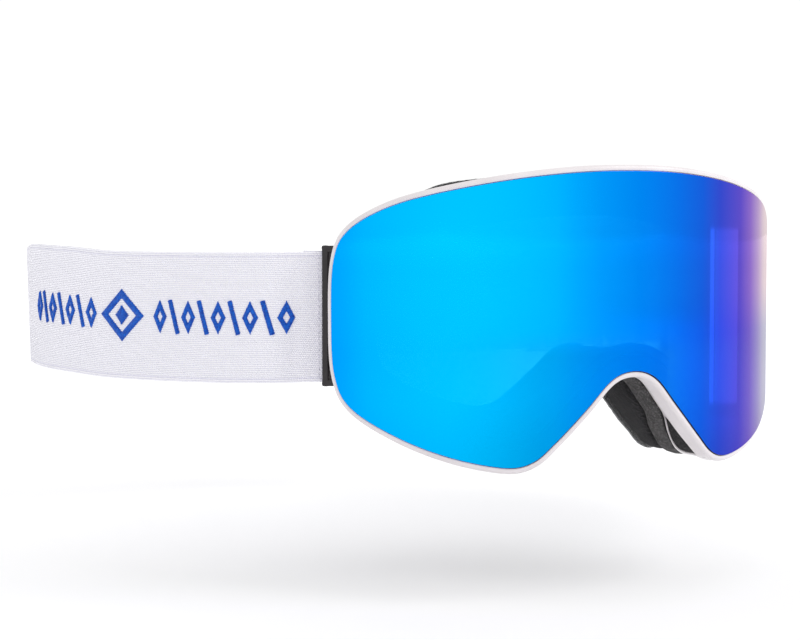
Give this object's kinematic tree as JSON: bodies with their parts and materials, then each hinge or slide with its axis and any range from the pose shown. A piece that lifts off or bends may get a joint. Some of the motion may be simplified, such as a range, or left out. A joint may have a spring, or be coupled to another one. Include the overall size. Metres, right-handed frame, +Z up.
{
  "type": "ski goggles",
  "caption": "Ski goggles with a cylindrical magnet-held mirror lens, white frame, layered face foam, hinged outriggers and an adjustable woven elastic strap.",
  "frame": {"origin": "centre of the face opening: on the middle plane, level with the strap's centre line, in the plane of the fleece at the brow", "axes": "+Z up, -Y the way the wearer looks, +Y towards the back of the head, X across the face with the wearer's right at -X"},
  "size_m": [0.3042, 0.2846, 0.1009],
  "materials": {
    "white_frame": "satin moulded thermoplastic",
    "magnet": "bright nickel plate",
    "mirror_lens": "blue to violet mirror coating",
    "clear_lens": "clear, anti-fog",
    "black_plastic": "fine satin moulding",
    "black_foam": "closed-cell foam",
    "steel": "brushed",
    "foam_firm": "open-cell polyurethane foam",
    "foam_soft": "soft open-cell foam",
    "fleece": "brushed fleece",
    "vent_foam": "coarse open-cell foam",
    "strap": "woven elastic with fine cross ribs",
    "white_plastic": "smooth moulded",
    "silicone": "translucent silicone"
  },
  "bodies": {
    "mask": {"frame": "white_frame", "frame_magnets": "magnet", "foam_base": "foam_firm", "foam_soft": "foam_soft", "foam_fleece": "fleece", "vent_foam_top": "vent_foam", "vent_foam_bottom": "vent_foam", "vent_foam_nose": "vent_foam", "hinge_pin_right": "steel", "hinge_pin_left": "steel", "strap_side_right": "strap", "strap_side_left": "strap", "strap_ring_right": "white_plastic", "strap_ring_left": "white_plastic", "strap_rear": "strap", "grip_strips": "silicone"},
    "lens": {"lens_outer": "mirror_lens", "lens_carrier": "black_plastic", "lens_gasket": "black_foam", "lens_inner": "clear_lens", "lens_steel_pads": "steel"},
    "outrigger_right": {"outrigger_right": "black_plastic", "strap_fold_right": "strap"},
    "outrigger_left": {"outrigger_left": "black_plastic", "strap_fold_left": "strap"},
    "adjuster_right": {"adjuster_right": "white_plastic"},
    "adjuster_left": {"adjuster_left": "white_plastic"}
  },
  "joints": [
    {"name": "lens_lift", "type": "slide", "parent": "mask", "child": "lens", "axis": [0, -1, 0], "range_m": [0, 0.06]},
    {"name": "outrigger_right_hinge", "type": "hinge", "parent": "mask", "child": "outrigger_right", "pos_m": [-0.0799, 0.0157, 0], "axis": [0, 0, -1], "range_deg": [-6, 25]},
    {"name": "outrigger_left_hinge", "type": "hinge", "parent": "mask", "child": "outrigger_left", "pos_m": [0.0799, 0.0157, 0], "axis": [0, 0, 1], "range_deg": [-6, 25]},
    {"name": "adjuster_right_slide", "type": "slide", "parent": "mask", "child": "adjuster_right", "axis": [0.6157, 0.7844, -0.0755], "range_m": [-0.01, 0.01]},
    {"name": "adjuster_left_slide", "type": "slide", "parent": "mask", "child": "adjuster_left", "axis": [-0.6157, 0.7844, -0.0755], "range_m": [-0.01, 0.01]}
  ]
}
